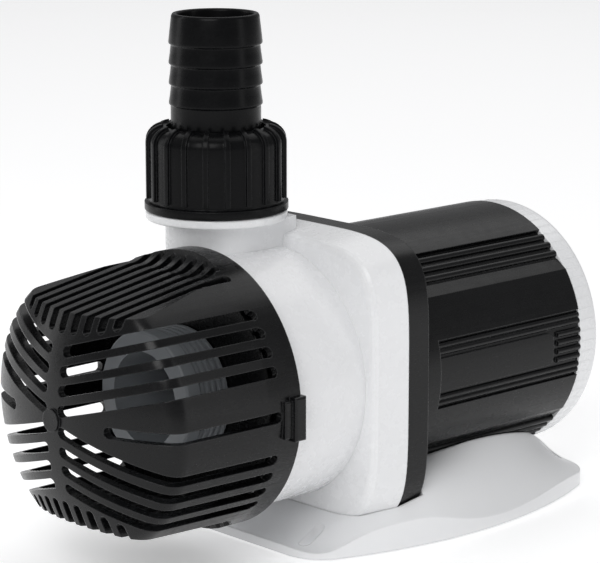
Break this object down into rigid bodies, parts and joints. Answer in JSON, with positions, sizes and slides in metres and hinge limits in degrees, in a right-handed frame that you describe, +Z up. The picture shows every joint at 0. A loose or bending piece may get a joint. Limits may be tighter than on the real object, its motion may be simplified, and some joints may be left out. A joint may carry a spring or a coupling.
{
  "type": "submersible circulation pump",
  "caption": "Submersible pump with a slotted dome strainer, round casing, top hose tail with a union nut, round motor body and a saddle base.",
  "frame": {"origin": "on the floor under the pump axis, in the joint between the white casing and the motor flange", "axes": "+Z up; +Y along the pump axis from the inlet to the rear cap; +X to the right seen from the inlet"},
  "size_m": [0.1172, 0.253, 0.197],
  "materials": {
    "black_satin": "satin black moulded plastic",
    "white_gloss": "white moulded plastic, slight gloss",
    "dark_grey": "dark grey moulded plastic",
    "seal_rubber": "black rubber",
    "foot_rubber": "grey rubber",
    "screw_steel": "stainless steel",
    "core_steel": "varnished steel laminations",
    "coil_wire": "enamelled copper wire",
    "board_green": "green board",
    "part_black": "black moulded parts",
    "shaft_ceramic": "polished white ceramic",
    "impeller_grey": "grey moulded plastic",
    "magnet_dark": "sealed magnet",
    "gland_black": "black nylon"
  },
  "bodies": {
    "pump_body": {"inlet_spigot": "dark_grey", "front_cover": "black_satin", "volute_casing": "white_gloss", "casing_seal": "seal_rubber", "casing_screws": "screw_steel", "motor_housing": "black_satin", "rotor_can": "dark_grey", "stator_core": "core_steel", "stator_coils": "coil_wire", "driver_board": "board_green", "board_parts": "part_black", "board_screws": "screw_steel", "shaft": "shaft_ceramic", "front_shaft_cup": "seal_rubber", "rear_shaft_cup": "seal_rubber", "thrust_washers": "shaft_ceramic", "rear_cap": "white_gloss", "rear_cap_seal": "seal_rubber", "rear_cap_screws": "screw_steel", "gland_body": "gland_black", "gland_seal": "seal_rubber", "gland_nut": "gland_black", "base_plate": "white_gloss", "base_screws": "screw_steel", "foot_strips": "foot_rubber"},
    "rotor": {"impeller": "impeller_grey", "rotor_magnet": "magnet_dark", "rotor_bushes": "part_black"},
    "cage": {"strainer_cage": "black_satin"},
    "tail": {"hose_tail": "black_satin", "union_gasket": "seal_rubber"},
    "nut": {"union_nut": "black_satin"}
  },
  "joints": [
    {"name": "rotor_spin", "type": "hinge", "parent": "pump_body", "child": "rotor", "pos_m": [0, 0, 0.062], "axis": [0, 1, 0], "continuous": true},
    {"name": "strainer_twist", "type": "hinge", "parent": "pump_body", "child": "cage", "pos_m": [0, -0.055, 0.062], "axis": [0, 1, 0], "range_deg": [0, 18]},
    {"name": "union_rise", "type": "slide", "parent": "pump_body", "child": "tail", "axis": [0, 0, 1], "range_m": [0, 0.012]},
    {"name": "union_turn", "type": "hinge", "parent": "tail", "child": "nut", "pos_m": [-0.0161, -0.0308, 0.139], "axis": [0, 0, 1], "range_deg": [0, 1440]}
  ],
  "couplings": [
    {"joint": "union_rise", "follows": "union_turn", "m_per_rad": 0.00047746}
  ]
}
